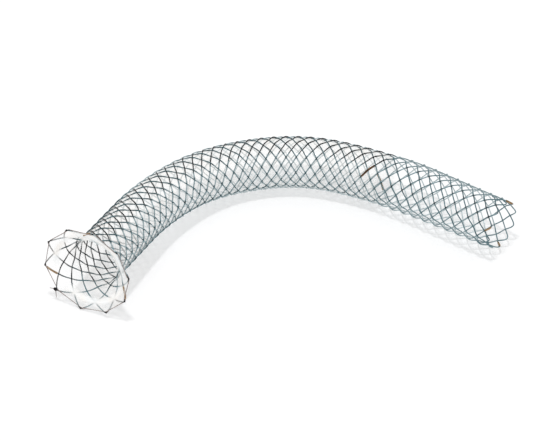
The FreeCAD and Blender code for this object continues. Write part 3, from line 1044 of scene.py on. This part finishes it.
@dataclass
class MouthThread:
    """Thread from crown to crown round the mouth, with its knot and two tails."""

    weave: Weave
    diameter: float = 0.16 * MM
    sides: int = 6
    setback_row: float = 0.1
    loop_shares: Sequence[float] = (0.03, 0.5, 0.97)
    knot_crown: int = 3
    knot_size: float = 0.26 * MM
    knot_strand: float = 0.28 * MM
    knot_offset: float = 0.4 * MM
    knot_height: float = 0.6
    knot_depth: float = 1.2
    knot_steps: int = 48
    knot_sides: int = 8
    tails: Sequence[Tail] = (
        Tail("left", -0.78, 0.6, 1.1 * MM),
        Tail("lower", 0.82, 0.52, 1.6 * MM),
    )
    tail_steps: int = 6
    tail_outward: float = 0.25
    tail_droop: float = 0.35
    tail_taper: float = 0.35
    hitch_row: float = 0.07
    hitch_radii: Sequence[float] = (0.11 * MM, 0.17 * MM, 0.11 * MM)

    def leg_point(self, crown: int, winding: Winding, side: int) -> tuple[Vector, Vector]:
        """Point of the thread above (1) or below (-1) a crown's leg."""
        lift = side * (self.weave.wire_diameter + self.diameter) / 2
        return self.weave.wire_place(crown, self.setback_row, winding, lift)

    def build_loop(self) -> bpy.types.Object:
        """Builds the thread, over one leg and under the other of each crown."""
        places = []
        for crown in range(self.weave.crowns):
            places.append(self.leg_point(crown, Winding.INBOUND, 1))
            places.append(self.leg_point(crown, Winding.OUTBOUND, -1))
        route: list[Vector] = []
        ways_up: list[Vector] = []
        for index, (start, outward) in enumerate(places):
            end = places[(index + 1) % len(places)][0]
            for share in self.loop_shares:
                route.append(start.lerp(end, share))
                ways_up.append(outward)
        radii = [self.diameter / 2] * len(route)
        strand = Tube(route, ways_up, radii, self.sides, closed=True)
        piece = mesh_piece("mouth_thread", *strand.mesh_data())
        dress(piece, Finishes.THREAD, "thread", "retrieval_thread")
        return piece

    def knot_frame(self) -> tuple[Vector, Vector, Vector, Vector]:
        """Finds the knot's place.

        Returns:
            Its centre, and the ways out of the flare, round the mouth and up the slope.
        """
        place, outward = self.leg_point(self.knot_crown, Winding.INBOUND, 1)
        ahead = self.leg_point(self.knot_crown, Winding.OUTBOUND, 1)[0]
        around = (ahead - place).normalized()
        up_slope = outward.cross(around).normalized()
        if up_slope.dot(self.weave.line.along) > 0:
            up_slope = -up_slope
        centre = place + outward * self.knot_size * self.knot_height + up_slope * self.knot_offset
        return centre, outward, around, up_slope

    def build_knot(self) -> bpy.types.Object:
        """Builds the knot as a thread that crosses itself three times."""
        centre, outward, around, up_slope = self.knot_frame()
        route = []
        for step in range(self.knot_steps):
            turn = 2 * math.pi * step / self.knot_steps
            sideways = math.sin(turn) + 2 * math.sin(2 * turn)
            upward = math.cos(turn) - 2 * math.cos(2 * turn)
            inward = outward * math.sin(3 * turn) * self.knot_depth
            offset = around * sideways + up_slope * upward - inward
            route.append(centre + offset * (self.knot_size / 3))
        radii = [self.knot_strand / 2] * len(route)
        strand = Tube(route, [outward] * len(route), radii, self.knot_sides, closed=True)
        piece = mesh_piece("thread_knot", *strand.mesh_data())
        dress(piece, Finishes.KNOT, "thread")
        return piece

    def build_hitches(self) -> bpy.types.Object:
        """Builds the tight turn of the thread on the tip of every crown but the knot's."""
        points: list[Vector] = []
        faces: list[tuple[int, ...]] = []
        for crown in range(self.weave.crowns):
            if crown == self.knot_crown:
                continue
            places = [self.weave.wire_place(crown, self.hitch_row, Winding.INBOUND)]
            places.append(self.weave.wire_place(crown, 0.0, Winding.OUTBOUND))
            places.append(self.weave.wire_place(crown, self.hitch_row, Winding.OUTBOUND))
            route, ways_up = [point for point, _ in places], [up for _, up in places]
            hitch = Tube(route, ways_up, self.hitch_radii, self.knot_sides)
            corners, sides = hitch.mesh_data()
            faces += [tuple(corner + len(points) for corner in side) for side in sides]
            points += corners
        piece = mesh_piece("thread_hitches", points, faces)
        dress(piece, Finishes.KNOT, "thread")
        return piece

    def build_tails(self) -> list[bpy.types.Object]:
        """Builds the two short ends that stand out from the knot."""
        centre, outward, around, up_slope = self.knot_frame()
        pieces = []
        for tail in self.tails:
            way = around * tail.around + up_slope * tail.up_slope + outward * self.tail_outward
            way = way.normalized() * tail.length
            droop = -outward * self.tail_droop * tail.length
            steps = [step / self.tail_steps for step in range(self.tail_steps + 1)]
            route = [centre + way * step + droop * step * step for step in steps]
            radii = [self.diameter / 2 * (1.0 - self.tail_taper * step) for step in steps]
            strand = Tube(route, [outward] * len(route), radii, self.sides)
            piece = mesh_piece(f"thread_tail_{tail.name}", *strand.mesh_data())
            dress(piece, Finishes.THREAD, "thread")
            pieces.append(piece)
        return pieces


@dataclass(frozen=True)
class Sleeve:
    """One marker sleeve: its name, its pass, the rows that it covers and what it stands for."""

    name: str
    crown: int
    start: float
    end: float
    finish: Finishes
    nodes: tuple[str, ...]


@dataclass
class MarkerSleeves:
    """Short metal sleeves on outbound passes of the wire."""

    weave: Weave
    wire: WovenWire
    diameter: float = 0.39 * MM
    sides: int = 12
    steps: int = 8
    lip: float = 0.06
    lip_fit: float = 1.15
    mouth_crowns: Sequence[int] = (2, 6, 9)
    mouth_rows: tuple[float, float] = (0.16, 0.92)
    edge_crowns: Sequence[int] = (5, 0)
    edge_rows_back: int = 3
    edge_rows: tuple[float, float] = (0.05, 1.95)
    end_crowns: Sequence[int] = (0, 3, 6)
    end_rows_back: tuple[float, float] = (0.85, 0.12)

    def sleeves(self) -> list[Sleeve]:
        """Lists the sleeves at the mouth, near the film's edge and at the bare end."""
        listed = []
        for number, crown in enumerate(self.mouth_crowns, start=1):
            name, node = f"mouth_sleeve_{number}", f"flare_marker_{number}"
            listed.append(Sleeve(name, crown, *self.mouth_rows, Finishes.GOLD, (node,)))
        start, end = (self.weave.film_row - self.edge_rows_back + row for row in self.edge_rows)
        for number, crown in enumerate(self.edge_crowns, start=1):
            name = f"edge_sleeve_{number}"
            halves = (f"edge_marker_{number}_front", f"edge_marker_{number}_rear")
            finish = Finishes.DARK_GOLD if number == 1 else Finishes.GOLD
            listed.append(Sleeve(name, crown, start, end, finish, halves))
        start, end = (self.weave.last_row - back for back in self.end_rows_back)
        for number, crown in enumerate(self.end_crowns, start=1):
            name, node = f"end_sleeve_{number}", f"end_marker_{number}"
            listed.append(Sleeve(name, crown, start, end, Finishes.GOLD, (node,)))
        return listed

    def build(self) -> list[bpy.types.Object]:
        """Builds every sleeve with rounded lips at its ends."""
        pieces = []
        for sleeve in self.sleeves():
            shares = [0.0, self.lip / 2] + [step / self.steps for step in range(1, self.steps)]
            shares += [1.0 - self.lip / 2, 1.0]
            places = []
            for share in shares:
                row = sleeve.start + (sleeve.end - sleeve.start) * share
                places.append(self.wire.place(sleeve.crown, row, Winding.OUTBOUND))
            radii = [self.diameter / 2] * len(shares)
            radii[0] = radii[-1] = self.weave.wire_diameter / 2 * self.lip_fit
            route, ways_up = [point for point, _ in places], [up for _, up in places]
            strand = Tube(route, ways_up, radii, self.sides)
            piece = mesh_piece(sleeve.name, *strand.mesh_data())
            dress(piece, sleeve.finish, "gold", *sleeve.nodes)
            pieces.append(piece)
        return pieces


@dataclass
class Studio:
    """White floor, soft overhead light and the camera."""

    azimuth: float = math.radians(26.0345)
    elevation: float = math.radians(39.6735)
    distance: float = 514.48 * MM
    target: Vector = field(default_factory=lambda: Vector((-6.652 * MM, 9.478 * MM, 0.0)))
    focal_pixels: float = 2732.29
    frame_pixels: float = 556.0
    sensor: float = 36.0
    floor_colour: Colour = (0.86, 0.86, 0.87, 1.0)
    floor_shown: Colour = (0.72, 0.72, 0.725, 1.0)
    floor_glow: float = 0.36
    floor_reach: float = 3.0
    floor_drop: float = 0.02 * MM
    sky_strength: float = 0.88
    key_power: float = 1.1
    key_size: float = 0.06
    key_place: Vector = field(default_factory=lambda: Vector((-0.02, -0.08, 0.62)))

    def build_floor(self) -> bpy.types.Object:
        """Builds the floor, which glows a little to the camera so that it stays white."""
        ways = ((-1, -1), (1, -1), (1, 1), (-1, 1))
        corners = [(x * self.floor_reach, y * self.floor_reach, 0.0) for x, y in ways]
        mesh = bpy.data.meshes.new("floor")
        mesh.from_pydata(corners, [], [(0, 1, 2, 3)])
        floor = bpy.data.objects.new("floor", mesh)
        floor.location.z = -self.floor_drop
        bpy.context.scene.collection.objects.link(floor)
        nodes = Nodes("white_floor")
        paper = nodes.add("ShaderNodeBsdfDiffuse", Color=self.floor_colour)
        lit = nodes.add("ShaderNodeBsdfDiffuse", Color=self.floor_shown)
        glow = nodes.add("ShaderNodeEmission", Strength=self.floor_glow)
        both = nodes.add("ShaderNodeAddShader")
        shown = nodes.add("ShaderNodeMixShader")
        nodes.join(lit.outputs[0], both.inputs[0])
        nodes.join(glow.outputs[0], both.inputs[1])
        nodes.join(self.seen_directly(nodes), shown.inputs["Fac"])
        nodes.join(paper.outputs[0], shown.inputs[1])
        nodes.join(both.outputs[0], shown.inputs[2])
        nodes.join(shown.outputs[0], nodes.output.inputs["Surface"])
        mesh.materials.append(nodes.material)
        floor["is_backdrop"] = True
        return floor

    @staticmethod
    def seen_directly(nodes: Nodes) -> bpy.types.NodeSocket:
        """Socket that is 1 for camera, glossy and transmission rays."""
        path = nodes.add("ShaderNodeLightPath")
        first = nodes.add("ShaderNodeMath", operation="MAXIMUM")
        nodes.join(path.outputs["Is Camera Ray"], first.inputs[0])
        nodes.join(path.outputs["Is Glossy Ray"], first.inputs[1])
        second = nodes.add("ShaderNodeMath", operation="MAXIMUM")
        nodes.join(first.outputs[0], second.inputs[0])
        nodes.join(path.outputs["Is Transmission Ray"], second.inputs[1])
        return second.outputs[0]

    def build_sky(self) -> None:
        """Lights the scene evenly from all round, on a white background."""
        world = bpy.data.worlds.new("sky")
        world.use_nodes = True
        tree = world.node_tree
        tree.nodes.clear()
        output = tree.nodes.new("ShaderNodeOutputWorld")
        shown = tree.nodes.new("ShaderNodeMixShader")
        path = tree.nodes.new("ShaderNodeLightPath")
        for index, strength in ((1, self.sky_strength), (2, 1.0)):
            light = tree.nodes.new("ShaderNodeBackground")
            light.inputs["Strength"].default_value = strength
            tree.links.new(light.outputs[0], shown.inputs[index])
        tree.links.new(path.outputs["Is Camera Ray"], shown.inputs["Fac"])
        tree.links.new(shown.outputs[0], output.inputs["Surface"])
        bpy.context.scene.world = world

    def look(self) -> Vector:
        """Unit vector along the camera's view."""
        level, drop = math.cos(self.elevation), -math.sin(self.elevation)
        return Vector((-math.sin(self.azimuth) * level, math.cos(self.azimuth) * level, drop))

    def build_key(self) -> None:
        """Hangs the main light over the part, a little in front."""
        data = bpy.data.lights.new("key", "AREA")
        data.shape = "DISK"
        data.size = self.key_size
        data.energy = self.key_power
        key = bpy.data.objects.new("key", data)
        key.location = self.target + self.key_place
        key.rotation_mode = "QUATERNION"
        key.rotation_quaternion = (self.target - key.location).to_track_quat("-Z", "Y")
        bpy.context.scene.collection.objects.link(key)

    def build_camera(self) -> None:
        """Sets the camera where the photograph was taken from."""
        data = bpy.data.cameras.new("camera")
        data.sensor_width = self.sensor
        data.lens = self.focal_pixels * self.sensor / self.frame_pixels
        data.clip_start = 0.01
        data.clip_end = 20.0
        camera = bpy.data.objects.new("camera", data)
        camera.location = self.target - self.look() * self.distance
        camera.rotation_mode = "QUATERNION"
        camera.rotation_quaternion = self.look().to_track_quat("-Z", "Y")
        bpy.context.scene.collection.objects.link(camera)
        bpy.context.scene.camera = camera

    def build(self) -> None:
        """Builds the floor, the lights and the camera."""
        self.build_floor()
        self.build_sky()
        self.build_key()
        self.build_camera()
        bpy.context.scene.view_settings.view_transform = "Standard"


def write_size() -> None:
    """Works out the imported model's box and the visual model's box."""
    boxes = {"cad": CAD_BOX, "visual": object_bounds()}
    plain = {name: [list(corner) for corner in box] for name, box in boxes.items()}


def main() -> None:
    """Builds the pieces in order and reports each one."""
    logging.basicConfig(level=logging.INFO, format="%(message)s")
    weave = Weave(CentreLine())
    wire = WovenWire(weave)
    wire.build()
    Film(weave, FilmBody()).build()
    thread = MouthThread(weave)
    thread.build_loop()
    thread.build_knot()
    thread.build_tails()
    thread.build_hitches()
    MarkerSleeves(weave, wire).build()
    Studio().build()
    write_size()


if __name__ == "__main__":
    main()
